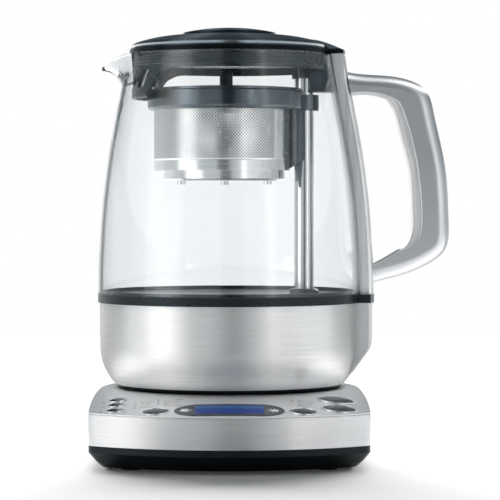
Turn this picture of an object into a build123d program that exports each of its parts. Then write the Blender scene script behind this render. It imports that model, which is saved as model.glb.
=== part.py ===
from build123d import *
from math import atan, cos, degrees, hypot, radians, sin, tan
import os

# Automatic tea maker: a glass jug with a steel foot on a powered base, and a tea basket that a
# motor in the jug's foot raises and lowers along a steel post.
# Millimetres. Z is up from the table and is the jug's axis, the spout points to -X, the handle
# to +X, and the control panel faces -Y.

# ---- Clearances and common walls -------------------------------------------------------------
fit = 0.1                    # between pieces that stay assembled
slip = 0.3                   # beside a piece that moves
screw_d = 3.0
screw_head_d = 5.6
screw_head_h = 1.2
screw_recess = 1.5           # depth of the head's recess in a cover
tray_screw_length = 18.0
bottom_screw_length = 14.0

# ---- Power base ------------------------------------------------------------------------------
base_width = 162.8           # also the diameter of its round back
base_front = 122.0           # from the jug's axis to the front edge
front_bow = 128.0            # radius of the bowed front
front_corner = 8.5
tray_bottom = 1.4
tray_side_z = 10.0           # the tray's sides are full width from here up
tray_knee_z = 4.6
tray_knee_in = 4.5
tray_foot_in = 8.0
tray_top = 14.0
tray_wall = 2.4
band_top = 31.8
band_wall = 1.2
band_reveal = 0.4            # dark seam between the band and the deck
deck_z = 41.0
deck_front_z = 32.8
panel_flat = 76.0            # the deck is level this far round the front bow's centre, then falls
deck_wall = 2.4
deck_lip_h = 5.0
deck_lip_wall = 1.6
deck_roll = 5.0              # radius of the roll along the sides and the back
seat_r = 67.6
seat_z = 37.5
seat_floor = 2.4
column_d = 8.0
columns = [(-62.0, -48.0), (62.0, -48.0), (-40.0, 34.0), (40.0, 34.0)]
foot_ring_r = 62.0
foot_ring_w = 5.0
foot_pad_d = 12.0
foot_pads = [(-56.0, -88.0), (56.0, -88.0)]
foot_recess = 0.8
post_r = 12.0
post_top = 51.0
post_flange_r = 17.0
post_flange_h = 2.4
contact_w = 1.2
contact_z = [41.5, 45.0, 48.5]
gland_z = 21.0
gland_bore = 7.0
gland_neck_d = 11.0
gland_flange_d = 15.0
gland_out = 3.6
gland_in = 6.0

# ---- Control panel ---------------------------------------------------------------------------
pod_w = 63.0
pod_d = 27.0
pod_y = -105.0
pod_proud = 0.4
pod_h = 4.6
pod_end_w = 14.0             # width of each rounded end
pod_edge = 0.3
window_w = 39.4
window_d = 22.6
window_h = 1.6
screen_h = 2.6
screen_in = 1.2              # the screen is this much smaller than the window all round
bezel_w = 1.2
bezel_proud = 0.7
bezel_deep = 2.8
button_proud = 1.4
button_dome = 0.9            # how far the cap's middle stands above its ends
pod_button_proud = 0.8       # above the pod
button_travel = 1.0
button_flange = 0.9          # how far the keeper flange stands out under the bezel
button_flange_h = 0.8
button_gap = 0.25
board_w = 136.0
board_d = 42.0
board_h = 1.6
board_depth = 10.0           # below the deck's surface, along its normal
board_y = -85.0
board_inset = 4.0            # its front corners follow the base this far inside
standoff_d = 5.0
standoffs = [(-36.0, 12.0), (36.0, 12.0), (0.0, 9.5), (-55.5, -12.0)]
switch_d = 3.4
switch_rest_gap = 0.2        # between a fully pressed button and its switch

# name: (x, y, width, depth, bezel)
buttons = {
    "left_rear_button": (-65.5, -65.5, 9.0, 8.4, True),
    "left_middle_button": (-65.5, -79.5, 9.0, 8.4, True),
    "left_front_button": (-65.8, -94.0, 9.0, 8.4, True),
    "tea_type_button": (-42.2, -104.8, 14.0, 13.9, True),
    "strength_button": (42.2, -104.8, 14.0, 13.9, True),
    "keep_warm_button": (62.4, -68.0, 19.4, 15.4, True),
    "start_button": (63.0, -91.5, 18.4, 15.8, True),
    "minus_button": (-24.6, -105.0, 7.6, 7.5, False),
    "plus_button": (24.6, -105.0, 7.6, 7.5, False),
}

# ---- Jug foot --------------------------------------------------------------------------------
jug_lift = 0.2               # the jug's ring rests this far above the seat
foot_r = 79.2
foot_top = 93.0
foot_side_z = 66.0           # straight down to here, then the foot curves in
foot_overhang = 2.3          # the foot's lower edge is this much wider than the seat
foot_low_z = 43.6
shell_t = 1.2
bump_r = 87.2
bump_half_angle = 15.9
bump_toe_r = 75.5
bump_toe_z = 50.0
bump_bend = 12.0
ring_room = 4.9              # beside the jug's ring as it stands in the seat
cover_floor = 2.4
cover_lip_h = 4.0
cover_lip_w = 2.0
collar_top = 98.0
collar_proud = 0.1           # the collar stands this far outside the glass
collar_bump_r = 88.4
collar_seat = 4.0            # width of the collar's top under the glass
ledge_t = 2.4
boss_d = 7.0
boss_in = 2.2                # the bosses' centres lie this far inside the ring's edge
boss_angles = [60.0, 180.0, 300.0]
plate_t = 1.6
seal_t = 0.6
seal_lip_h = 1.6
seal_lip_w = 1.6
element_r = 46.0
element_d = 7.0
element_gap = 64.0           # degrees left open round the motor
thermostat_d = 20.0
thermostat_h = 9.0
thermostat_x = -22.0
socket_wall = 2.4
socket_flange_r = 20.0

# ---- Glass -----------------------------------------------------------------------------------
glass_t = 2.2
rim_z = 243.5
glass_low_r = 80.2
glass_belly = [(79.2, 130.6), (76.8, 160.0), (73.8, 182.0), (69.9, 204.0), (65.7, 225.4)]
rim_r = 62.7
# spout sections: distance from the axis, half width, underside, open top
spout = [
    (58.0, 26.0, 206.0, 243.5),
    (64.0, 19.5, 220.5, 243.2),
    (69.0, 14.0, 230.0, 241.2),
    (73.5, 8.6, 233.0, 238.8),
    (77.6, 3.6, 233.8, 235.4),
]

# ---- Handle ----------------------------------------------------------------------------------
spine_t = 7.8
spine_half_angle = 10.5
spine_edge = 3.0
spine_top = 243.9
handle_depth = 27.0
handle_edge = 7.5
handle_seam_edge = 1.0
inlay_depth = 25.0
inlay_edge = 2.4
inlay_sink = 4.0             # the inlay is drawn this far into the shell, then cut to it
grip_outer = [(92.0, 230.9), (110.4, 227.6), (119.0, 222.4), (124.5, 207.7), (131.5, 174.7),
              (133.6, 142.0), (131.2, 124.8), (122.6, 117.2), (101.8, 108.6)]
grip_outer_ends = [(70.0, 233.4), (70.0, 99.6)]
grip_seam = [(89.0, 219.2), (96.9, 216.9), (102.4, 213.8), (104.9, 208.9), (111.6, 185.7),
             (115.6, 158.2), (115.7, 138.0), (112.2, 128.8), (106.1, 125.7), (95.1, 119.6)]
grip_seam_ends = [(70.0, 218.4), (70.0, 111.6)]
inlay_line = [(96.2, 216.6), (98.8, 213.2), (103.1, 200.4), (109.5, 174.7), (111.4, 150.0),
              (110.6, 134.5), (106.7, 127.0), (102.4, 123.3)]
inlay_ends = [(93.0, 220.5), (98.0, 117.0)]
handle_screw_z = [224.6, 111.5]
handle_screw_sink = 0.6      # the heads lie this far outside the glass
handle_screw_length = 14.0

# ---- Lift post and drive ---------------------------------------------------------------------
lift_x = 45.6
tube_r = 6.0
tube_t = 0.8
tube_low = 92.0
tube_high = 231.0
tube_foot_r = 9.0
tube_foot_h = 3.0
motor_r = 12.0
motor_low = 62.0
gearbox_h = 9.0
screw_r = 2.0
screw_high = 224.0
carriage_h = 26.0
carriage_z = 181.0
magnet_h = 5.0
magnet_t = 1.4
magnet_levels = [3.0, 18.0]  # above the carriage's lower end
bush_h = 4.0
bracket_low = 229.0
bracket_high = 236.0
bracket_cap_r = 7.4
block_low = 220.5
block_inner_x = 49.2
block_half_w = 8.0
clip_half_angle = 7.0
clip_in_r = 57.2
clip_out_r = 66.0
clip_t = 2.0

# ---- Basket (raised, as it rests) ------------------------------------------------------------
basket_x = -4.5              # centre of the drum
ring_x = -2.0                # centre of the ring's outside
ring_r = 48.0
ring_low = 209.5
ring_h = 11.9
ring_bore = 40.5
ring_toe = 2.5               # rounding of the ring's lower edge
ear_r = 9.0
ear_h = 9.5
drum_r = 41.5
drum_t = 0.6
drum_seat = 3.0              # how far the drum stands up inside the ring
drum_low = 178.9
hoop_low = 173.0
hoop_w = 6.5
dish_low = 166.7
dish_x = -3.0
dish_r = 37.0
dish_t = 1.6
foot_tab_h = 2.2
foot_tab_d = 5.0
foot_tab_r = 30.0
sleeve_r = 10.0
sleeve_low = 173.4
sleeve_slant = 7.0
tip_low = 162.5
tip_root_z = 178.0
tip_near = 1.6
tip_far = 5.2
tip_t = 1.6
pocket_r = 6.9
pocket_t = 1.3
pocket_half_angle = 55.0
basket_lid_r = 45.5
basket_lid_dome = 3.1
basket_lid_t = 1.4
basket_plug_r = 39.6
basket_plug_h = 4.0
knob_post_r = 4.0
knob_post_h = 9.5

# ---- Jug lid ---------------------------------------------------------------------------------
lid_gap = 0.4                # above the glass rim
lid_r = 61.2
lid_edge_z = 246.6
lid_shoulder_r = 57.0
lid_shoulder_z = 250.6
lid_disc_r = 28.3
lid_disc_z = 255.2
lid_high = 260.0
lid_t = 2.2
lid_draft = 0.3
tail_r = 70.6
tail_low = 244.4
tail_root_r = 46.0
tail_root_z = 252.5
tail_knee_r = 56.0
tail_knee_z = 251.6
tail_bend_r = 63.2
tail_bend_z = 249.2
tail_edge_z = 246.0
tail_half_angle = 12.5
knob_dome = 3.0
knob_taper = 0.6
knob_stub_r = 6.0
skirt_r = 59.6
skirt_t = 2.0
skirt_low = 233.5
skirt_ceiling = 237.6
skirt_notch_angle = 16.0
apron_low = 216.5
apron_top_angle = 49.0
apron_low_angle = 33.0
apron_arch = 12.0
apron_toe = 4.0
filter_low = 222.5
filter_high = 232.8
filter_angle = 38.0          # half of the strainer's sweep
filter_window = 14.0         # half width of the window in the middle
side_window_low = (23.2, 30.5)
side_window_high = (31.5, 36.5)
filter_lap = 1.2
filter_t = 0.5
lid_seal_z = 235.6
lid_seal_h = 6.4
seal_fins = 4
lid_seal_out = 0.5
lid_seal_in = 0.9

# ---- Values that follow from the ones above --------------------------------------------------
deck_low = band_top + band_reveal
bow_y = front_bow - base_front
deck_slope = atan((deck_z - deck_front_z) / (front_bow - panel_flat))
jug_low = seat_z + jug_lift
foot_low_r = seat_r + foot_overhang
collar_r = glass_low_r + collar_proud
collar_bore = glass_low_r - collar_seat
cover_ring_r = seat_r - ring_room
boss_r = cover_ring_r - boss_in
ledge_r = boss_r - boss_d / 2
socket_r = post_r + slip + 0.3
socket_ceiling = post_top + 2 * slip
ledge_top = foot_top + ledge_t
plate_low = collar_top - plate_t
plate_r = collar_bore - fit
glass_low = collar_top + seal_t
tube_bore = tube_r + slip
carriage_r = tube_r - tube_t - slip
carriage_bore = screw_r + slip
drum_top = ring_low + drum_seat
ring_high = ring_low + ring_h
ear_high = ring_low + ear_h
basket_lid_top = ring_high + basket_lid_dome
knob_post_high = basket_lid_top + knob_post_h
lid_low = rim_z + lid_gap


# ---- Shared shapes ---------------------------------------------------------------------------
def disc(radius, low, high, x=0.0, y=0.0):
    return Pos(x, y, low) * extrude(Circle(radius), high - low)


def ring(outer, inner, low, high, x=0.0):
    return Pos(x, 0, low) * extrude(Circle(outer) - Circle(inner), high - low)


def turned(section):
    """Solid of revolution about Z of a section drawn as radius, height."""
    return revolve(Plane.XZ * section, Axis.Z)


def sector(section, half_angle, middle=0.0):
    """Part of a turned solid, half_angle degrees to each side of the middle direction."""
    start = Rot(0, 0, middle - half_angle) * (Plane.XZ * section)
    return revolve(start, Axis.Z, 2 * half_angle)


def box_section(inner, outer, low, high):
    """Rectangle drawn as radius, height."""
    return Pos((inner + outer) / 2, (low + high) / 2) * Rectangle(outer - inner, high - low)


def glass_section(outset, low, high):
    """Section of the space inside the glass's outer face, moved outwards by outset."""
    foot = (glass_low_r + outset, glass_low)
    rim = (rim_r + outset, rim_z)
    wall = Spline([foot] + [(r + outset, z) for r, z in glass_belly] + [rim])
    back = Polyline(rim, (0, rim_z), (0, glass_low), foot)
    tall = make_face(wall + back)
    above = box_section(0, rim_r + outset, rim_z, rim_z + 40)
    below = box_section(0, foot[0], glass_low - 40, glass_low)
    return (tall + above + below) & box_section(0, 200, low, high)


def panel_plane(x, y):
    """Plane on the deck's surface at x, y, with its normal pointing out."""
    reach = hypot(x, y - bow_y)
    if reach <= panel_flat:
        return Plane(origin=(x, y, deck_z))
    height = deck_z - (reach - panel_flat) * tan(deck_slope)
    lean = sin(deck_slope) / reach
    normal = Vector(x * lean, (y - bow_y) * lean, cos(deck_slope))
    return Plane(origin=(x, y, height), x_dir=Vector(0, 1, 0).cross(normal), z_dir=normal)


# ---- Power base ------------------------------------------------------------------------------
def base_plan(inset=0.0, corner=front_corner):
    """Outline of the base: round behind the jug, straight sides and a bowed front."""
    half = base_width / 2 - inset
    body = Circle(half) + Pos(0, -base_front / 2) * Rectangle(2 * half, base_front)
    plan = body & Pos(0, front_bow - base_front) * Circle(front_bow - inset)
    corners = plan.vertices().filter_by_position(Axis.Y, -base_front, -base_front / 2)
    return fillet(corners, corner)


def panel_cone(rise=0.0):
    """Space under the deck's top: level round the jug, then falling away to the bowed front."""
    reach = front_bow + front_corner
    top = deck_z + rise
    edge_z = top - (reach - panel_flat) * tan(deck_slope)
    outline = Polyline((0, 0), (0, top), (panel_flat, top), (reach, edge_z), (reach, 0), close=True)
    return Pos(0, bow_y) * turned(make_face(outline))


def deck_body(inset):
    """The deck's full shape down to its lower edge, with every face moved in by inset."""
    half = base_width / 2 - inset
    top = deck_z - inset
    block = Pos(0, top / 2) * Rectangle(2 * half, top)
    slice_shape = fillet(block.vertices().group_by(Axis.Y)[-1], deck_roll - inset)
    front = extrude(Plane.XZ * slice_shape, base_front)
    back = turned(slice_shape & box_section(0, half, 0, top))
    plan = Pos(0, 0, deck_low) * extrude(base_plan(inset), deck_z)
    return (front + back) & panel_cone(-inset) & plan


def button_outline(width, depth):
    return Ellipse(width / 2, depth / 2)


def pod_outline(grow=0.0):
    """Pod outline: straight long sides with rounded ends."""
    middle = pod_w - 2 * pod_end_w
    body = Rectangle(middle, pod_d + 2 * grow)
    end = Ellipse(pod_end_w + grow, pod_d / 2 + grow)
    return body + Pos(-middle / 2, 0) * end + Pos(middle / 2, 0) * end


def base_top_panel():
    deck = deck_body(0) - deck_body(deck_wall)
    lip = base_plan(band_wall + fit) - base_plan(band_wall + fit + deck_lip_wall)
    deck += Pos(0, 0, deck_low - deck_lip_h) * extrude(lip, deck_lip_h + band_reveal)
    deck += disc(seat_r + deck_wall, seat_z - seat_floor, deck_z - deck_wall / 2)
    for x, y in columns:
        top = panel_plane(x, y).origin.Z - deck_wall / 2
        deck += disc(column_d / 2, tray_bottom + tray_wall, top, x, y)
    for x, v in standoffs:
        spot = panel_plane(0, board_y) * Pos(x, v, -board_depth)
        deck += spot * extrude(Circle(standoff_d / 2), board_depth) & panel_cone(-deck_wall / 2)
    deck -= disc(seat_r, seat_z, deck_z + 1)
    deck -= disc(post_r + fit, 0, deck_z)
    for x, y in columns:
        deck -= disc(screw_d / 2, 0, deck_low - 8, x, y)
    deck -= panel_plane(0, pod_y) * Pos(0, 0, -8) * extrude(pod_outline(fit), 16)
    for x, y, width, depth, bezel in buttons.values():
        if bezel:
            hole = button_outline(width + 2 * bezel_w + fit, depth + 2 * bezel_w + fit)
            deck -= panel_plane(x, y) * Pos(0, 0, -6) * extrude(hole, 12)
    return deck


def base_tray():
    tray = Pos(0, 0, tray_side_z) * extrude(base_plan(), tray_top - tray_side_z)
    for inset, low, above, high in ((tray_knee_in, tray_knee_z, 0.0, tray_side_z),
                                    (tray_foot_in, tray_bottom, tray_knee_in, tray_knee_z)):
        lower = Pos(0, 0, low) * base_plan(inset, front_corner - 2)
        upper = Pos(0, 0, high) * base_plan(above, front_corner - 1)
        tray += loft([lower, upper], ruled=True)
    room = base_plan(tray_foot_in + tray_wall, front_corner - 2)
    tray -= Pos(0, 0, tray_bottom + tray_wall) * extrude(room, tray_top)
    wide = base_plan(tray_wall)
    tray -= Pos(0, 0, tray_side_z) * extrude(wide, tray_top)
    for x, y in columns:
        tray -= disc(screw_d / 2, 0, tray_top, x, y)
        tray -= disc(screw_head_d / 2 + fit, 0, tray_bottom + screw_recess, x, y)
    recess_top = tray_bottom + foot_recess
    tray -= ring(foot_ring_r + foot_ring_w / 2, foot_ring_r - foot_ring_w / 2, 0, recess_top)
    for x, y in foot_pads:
        tray -= disc(foot_pad_d / 2, 0, recess_top, x, y)
    return tray - gland_path(gland_neck_d / 2)


def base_band():
    section = base_plan() - base_plan(band_wall)
    band = Pos(0, 0, tray_top) * extrude(section, band_top - tray_top)
    return band - gland_path(gland_neck_d / 2)


def base_feet():
    recess_top = tray_bottom + foot_recess
    feet = ring(foot_ring_r + foot_ring_w / 2, foot_ring_r - foot_ring_w / 2, 0, recess_top)
    for x, y in foot_pads:
        feet += disc(foot_pad_d / 2, 0, recess_top, x, y)
    return feet


def standing_screw(length):
    """Low-headed screw standing on its head at the origin."""
    return disc(screw_head_d / 2, 0, screw_head_h) + disc(screw_d / 2, 0, length)


def tray_screws():
    low = tray_bottom + screw_recess - screw_head_h
    return [Pos(x, y, low) * standing_screw(tray_screw_length) for x, y in columns]


def gland_path(radius):
    """Straight hole through the back of the base for the mains lead's gland."""
    back = base_width / 2
    path = Plane(origin=(0, back - 12, gland_z), x_dir=(1, 0, 0), z_dir=(0, 1, 0))
    return path * extrude(Circle(radius), 24)


def cord_gland():
    wall = base_width / 2
    outer = Plane(origin=(0, wall + fit, gland_z), x_dir=(1, 0, 0), z_dir=(0, 1, 0))
    collar = outer * extrude(Circle(gland_flange_d / 2), gland_out)
    neck = outer * Pos(0, 0, -gland_in) * extrude(Circle(gland_neck_d / 2 - fit), gland_in)
    gland = collar + neck
    gland = fillet(gland.edges().filter_by(GeomType.CIRCLE).sort_by(Axis.Y)[-1], 1.2)
    return gland - gland_path(gland_bore / 2)


def connector_post():
    base = seat_z - seat_floor
    post = disc(post_r, base - post_flange_h, post_top)
    post += disc(post_flange_r, base - post_flange_h, base)
    post = chamfer(post.edges().group_by(Axis.Z)[-1], 1.5)
    for z in contact_z:
        post -= ring(post_r, post_r - contact_w, z, z + contact_w)
    return post


def connector_contacts():
    return [ring(post_r, post_r - contact_w, z, z + contact_w) for z in contact_z]


def display_pod():
    plane = panel_plane(0, pod_y)
    pod = plane * Pos(0, 0, pod_proud - pod_h) * extrude(pod_outline(), pod_h) & panel_cone(pod_proud)
    top = pod.faces().filter_by(GeomType.CONE).sort_by(SortBy.AREA)[-1]
    pod = fillet(top.edges(), pod_edge)
    window = Rectangle(window_w, window_d)
    pod -= plane * Pos(0, 0, pod_proud - window_h) * extrude(window, window_h)
    screen = Rectangle(window_w - 2 * screen_in, window_d - 2 * screen_in)
    pod -= plane * Pos(0, 0, pod_proud - pod_h) * extrude(screen, pod_h)
    for x, y, width, depth, bezel in buttons.values():
        if not bezel:
            hole = button_outline(width + 2 * button_gap, depth + 2 * button_gap)
            pod -= panel_plane(x, y) * Pos(0, 0, -pod_h) * extrude(hole, 2 * pod_h)
    return pod


def display_window():
    plane = panel_plane(0, pod_y)
    pane = Pos(0, 0, pod_proud - window_h) * extrude(Rectangle(window_w, window_d), window_h)
    return plane * pane & panel_cone(pod_proud)


def display_screen():
    low = pod_proud - window_h - screen_h
    size = Rectangle(window_w - 2 * screen_in - fit, window_d - 2 * screen_in - fit)
    return panel_plane(0, pod_y) * Pos(0, 0, low) * extrude(size, screen_h)


def control_board():
    plane = panel_plane(0, board_y)
    board = plane * Pos(0, 0, -board_depth - board_h) * extrude(Rectangle(board_w, board_d), board_h)
    return board & extrude(base_plan(board_inset), deck_z)


def button_floor(bezel):
    """Depth of a resting button's lower face below the panel's surface."""
    seat = bezel_deep if bezel else pod_h - pod_proud
    return seat + slip / 2 + button_flange_h


def tact_switches():
    """One small switch under each button, standing on the board."""
    board = panel_plane(0, board_y)
    switches = []
    for x, y, width, depth, bezel in buttons.values():
        under = button_floor(bezel) + button_travel + switch_rest_gap
        tip = board.to_local_coords(panel_plane(x, y).from_local_coords((0, 0, -under)))
        spot = board * Pos(tip.X, tip.Y, -board_depth)
        switches.append(spot * extrude(Circle(switch_d / 2), board_depth + tip.Z))
    return switches


def button_bezels():
    bezels = []
    for x, y, width, depth, bezel in buttons.values():
        if bezel:
            outer = button_outline(width + 2 * bezel_w, depth + 2 * bezel_w)
            section = outer - button_outline(width + 2 * button_gap, depth + 2 * button_gap)
            low = panel_plane(x, y) * Pos(0, 0, -bezel_deep)
            ring_piece = extrude(section, bezel_deep + bezel_proud)
            top = ring_piece.edges().group_by(Axis.Z)[-1]
            bezels.append(low * fillet(top, 0.35))
    return bezels


def button(x, y, width, depth, bezel):
    """Push button: a domed cap through the bezel and a keeper flange below it."""
    floor = button_floor(bezel)
    top = floor + (button_proud if bezel else pod_proud + pod_button_proud)
    dome_r = (width ** 2 / 4 + button_dome ** 2) / (2 * button_dome)
    cap = extrude(button_outline(width, depth), top) & Pos(0, 0, top - dome_r) * Sphere(dome_r)
    keeper = button_outline(width + 2 * button_flange, depth + 2 * button_flange)
    cap += extrude(keeper, button_flange_h)
    return panel_plane(x, y) * Pos(0, 0, -floor) * cap


# ---- Jug foot --------------------------------------------------------------------------------
def foot_body(inset, low, high):
    """Steel foot with its bump under the handle, with every face moved in by inset."""
    side = (foot_r - inset, foot_side_z)
    toe = (foot_low_r - inset, foot_low_z)
    outline = TangentArc(side, toe, tangent=(0, -1))
    outline += Polyline(toe, (toe[0], 0), (0, 0), (0, foot_top), (side[0], foot_top), side)
    body = turned(make_face(outline) & box_section(0, 200, low, high))
    points = [(0, bump_toe_z + inset), (bump_toe_r - inset, bump_toe_z + inset),
              (bump_r - inset, foot_side_z), (bump_r - inset, foot_top), (0, foot_top)]
    section = make_face(Polyline(*points, close=True))
    knee = section.vertices().sort_by_distance((bump_r - inset, foot_side_z))[0]
    section = fillet(knee, bump_bend) & box_section(40, 200, low, high)
    angle = bump_half_angle - degrees(inset / bump_r)
    return body + sector(section, angle)


def jug_base_shell():
    return foot_body(0, foot_low_z, foot_top) - foot_body(shell_t, 0, foot_top + 1)


def collar_ring(outer, bump, inner, low, high):
    """Round collar with the same bump under the handle as the steel foot."""
    body = ring(outer, inner, low, high)
    return body + sector(box_section(inner + 1, bump, low, high), bump_half_angle)


def glass_band():
    band = collar_ring(collar_r, collar_bump_r, collar_bore, foot_top, collar_top)
    band += ring(collar_bore + 1, ledge_r, foot_top, ledge_top)
    for angle in boss_angles:
        spot = Rot(0, 0, angle) * Pos(boss_r, 0, 0)
        band += spot * disc(boss_d / 2, jug_low + cover_floor, foot_top + 1)
        band -= spot * disc(screw_d / 2, 0, jug_low + bottom_screw_length + screw_recess)
    return band


def jug_bottom_cover():
    top = jug_low + cover_floor
    inside = foot_low_r - shell_t - fit
    points = [(socket_r + socket_wall + fit, jug_low), (cover_ring_r, jug_low),
              (foot_low_r, foot_low_z), (inside, foot_low_z), (inside, foot_low_z + cover_lip_h),
              (inside - cover_lip_w, foot_low_z + cover_lip_h), (inside - cover_lip_w, top),
              (socket_r + socket_wall + fit, top)]
    cover = turned(make_face(Polyline(*points, close=True)))
    for angle in boss_angles:
        spot = Rot(0, 0, angle) * Pos(boss_r, 0, 0)
        cover -= spot * disc(screw_d / 2, 0, top + 1)
        cover -= spot * disc(screw_head_d / 2 + fit, 0, jug_low + screw_recess)
    return cover


def jug_socket():
    """Socket over the base's round connector, so the jug can be set down at any angle."""
    body = disc(socket_r + socket_wall, jug_low, socket_ceiling + socket_wall)
    body += disc(socket_flange_r, jug_low + cover_floor, jug_low + 2 * cover_floor)
    return body - disc(socket_r, jug_low - 1, socket_ceiling)


def heating_plate():
    plate = disc(plate_r, plate_low, collar_top)
    plate += ring(plate_r, plate_r - plate_t, ledge_top, collar_top)
    return plate - disc(tube_r, plate_low - 1, collar_top + 1, lift_x)


def plate_seal():
    seal = ring(glass_low_r, plate_r - 3, collar_top, glass_low)
    lip = glass_radius(glass_low + seal_lip_h) - glass_t - fit
    return seal + ring(lip, lip - seal_lip_w, collar_top, glass_low + seal_lip_h)


def heating_element():
    """Sheathed element bent round under the plate, open on the motor's side."""
    section = Pos(element_r, plate_low - element_d / 2) * Circle(element_d / 2)
    half = 180 - element_gap / 2
    return sector(section, half, 180)


def thermostat():
    body = disc(thermostat_d / 2, plate_low - thermostat_h, plate_low, thermostat_x)
    tabs = Pos(thermostat_x, 0, plate_low - thermostat_h - 3) * Box(12, 1, 6)
    return body + tabs


def lift_motor():
    body = disc(motor_r, motor_low, tube_low - gearbox_h, lift_x)
    gearbox = disc(motor_r - 2, tube_low - gearbox_h, tube_low, lift_x)
    return body + gearbox - disc(screw_r + slip, tube_low - gearbox_h, tube_low + 1, lift_x)


def bottom_screws():
    low = jug_low + screw_recess - screw_head_h
    one = standing_screw(bottom_screw_length)
    return [Rot(0, 0, angle) * Pos(boss_r, 0, low) * one for angle in boss_angles]


# ---- Glass -----------------------------------------------------------------------------------
def spout_slice(reach, half_w, under, top):
    """Upright slice across the spout, flat on top and round below."""
    chord = Line((-half_w, top), (half_w, top))
    bowl = ThreePointArc((half_w, top), (0, under), (-half_w, top))
    face = Plane(origin=(-reach, 0, 0), x_dir=(0, 1, 0), z_dir=(1, 0, 0)) * make_face(chord + bowl)
    return face


def spout_body(inset, headroom):
    """Beak of the spout, with its walls moved in by inset and its top raised by headroom."""
    slices = []
    for reach, half_w, under, top in spout:
        slices.append(spout_slice(reach - inset, half_w - inset, under + inset, top + headroom))
    return loft(slices)


def jug_glass():
    outer = turned(glass_section(0, glass_low, rim_z)) + spout_body(0, 0)
    inner = turned(glass_section(-glass_t, glass_low - 1, rim_z + 20)) + spout_body(glass_t, 3)
    return outer - inner


# ---- Handle ----------------------------------------------------------------------------------
def spine_section():
    outer = glass_section(spine_t, collar_top, spine_top)
    return outer - glass_section(fit, collar_top - 1, spine_top + 1)


def glass_radius(z):
    """Outer radius of the glass at height z, between the wall's own points."""
    wall = [(glass_low_r, glass_low)] + glass_belly + [(rim_r, rim_z)]
    for (r0, z0), (r1, z1) in zip(wall, wall[1:]):
        if z0 <= z <= z1:
            return r0 + (r1 - r0) * (z - z0) / (z1 - z0)
    return rim_r


def screw_seat(z):
    """Plane at a handle screw's head, looking outwards along the screw."""
    head = glass_radius(z) + handle_screw_sink + screw_head_h
    return Plane(origin=(head, 0, z), x_dir=(0, 1, 0), z_dir=(1, 0, 0))


def screw_holes():
    holes = Part()
    for z in handle_screw_z:
        seat = screw_seat(z)
        holes += seat * extrude(Circle(screw_d / 2), handle_screw_length)
        holes += seat * extrude(Circle(screw_head_d / 2 + fit), -screw_head_h - spine_t)
    return holes


def handle_screws():
    screws = []
    for z in handle_screw_z:
        shank = extrude(Circle(screw_d / 2), handle_screw_length)
        head = extrude(Circle(screw_head_d / 2), -screw_head_h)
        screws.append(screw_seat(z) * (shank + head))
    return screws


def handle_spine():
    spine = sector(spine_section(), spine_half_angle)
    sides = spine.edges().sort_by(SortBy.LENGTH)[-4:].sort_by(Axis.X)[-2:]
    return fillet(sides, spine_edge) - screw_holes()


def grip_solid(outer, inner, depth):
    """Layer of the handle between two side-view lines."""
    face = Plane.XZ * make_face(outer + inner + Line(outer @ 0, inner @ 0) + Line(outer @ 1, inner @ 1))
    return extrude(face, depth / 2, both=True)


def spine_core():
    """Everything inside the spine's outer face, to cut the handle's arms to it."""
    return turned(glass_section(spine_t + fit / 2, collar_top - 20, rim_z + 20))


def handle_shell():
    outer = Spline([grip_outer_ends[0]] + grip_outer + [grip_outer_ends[1]])
    seam = Spline([grip_seam_ends[0]] + grip_seam + [grip_seam_ends[1]])
    shell = grip_solid(outer, seam, handle_depth)
    rims = shell.edges().sort_by(SortBy.LENGTH)
    shell = fillet(rims[-2:], handle_edge)
    rims = [e for e in shell.edges() if abs(e.length - seam.length) < 1]
    shell = fillet(rims, handle_seam_edge)
    return shell - spine_core() - screw_holes()


def handle_inlay():
    sunk = [(x + inlay_sink, z) for x, z in grip_seam[2:-2]]
    outer = Spline([inlay_ends[0]] + sunk + [inlay_ends[1]])
    inner = Spline([inlay_ends[0]] + inlay_line + [inlay_ends[1]])
    face = Plane.XZ * make_face(outer + inner)
    inlay = extrude(face, inlay_depth / 2, both=True)
    rims = [e for e in inlay.edges() if abs(e.length - inner.length) < 0.01]
    return fillet(rims, inlay_edge) - handle_shell()


# ---- Lift post and drive ---------------------------------------------------------------------
def lift_tube():
    tube = ring(tube_r, tube_r - tube_t, tube_low, tube_high, lift_x)
    tube += disc(tube_r, screw_high - bush_h, tube_high, lift_x)
    return tube - disc(screw_r + fit, 0, screw_high + fit, lift_x)


def tube_foot():
    foot = ring(tube_foot_r, tube_r, collar_top, collar_top + tube_foot_h, lift_x)
    return chamfer(foot.edges().group_by(Axis.Z)[-1].sort_by(SortBy.LENGTH)[-1], 1.2)


def lead_screw():
    """Screw turned by the motor, with its drive flat in the gearbox."""
    core = disc(screw_r, tube_low - gearbox_h + 1, screw_high, lift_x)
    flat = Pos(lift_x + screw_r, 0, tube_low - gearbox_h + 4) * Box(1.4, 2 * screw_r, 6)
    return core - flat


def carriage_rings(radius):
    rings = []
    for level in magnet_levels:
        low = carriage_z + level
        rings.append(ring(radius, carriage_r - magnet_t, low, low + magnet_h, lift_x))
    return rings


def magnet_carriage():
    """Nut that climbs the screw inside the post."""
    body = ring(carriage_r, carriage_bore, carriage_z, carriage_z + carriage_h, lift_x)
    for groove in carriage_rings(carriage_r + 1):
        body -= groove
    return body


def carriage_magnets():
    return carriage_rings(carriage_r)


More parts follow.
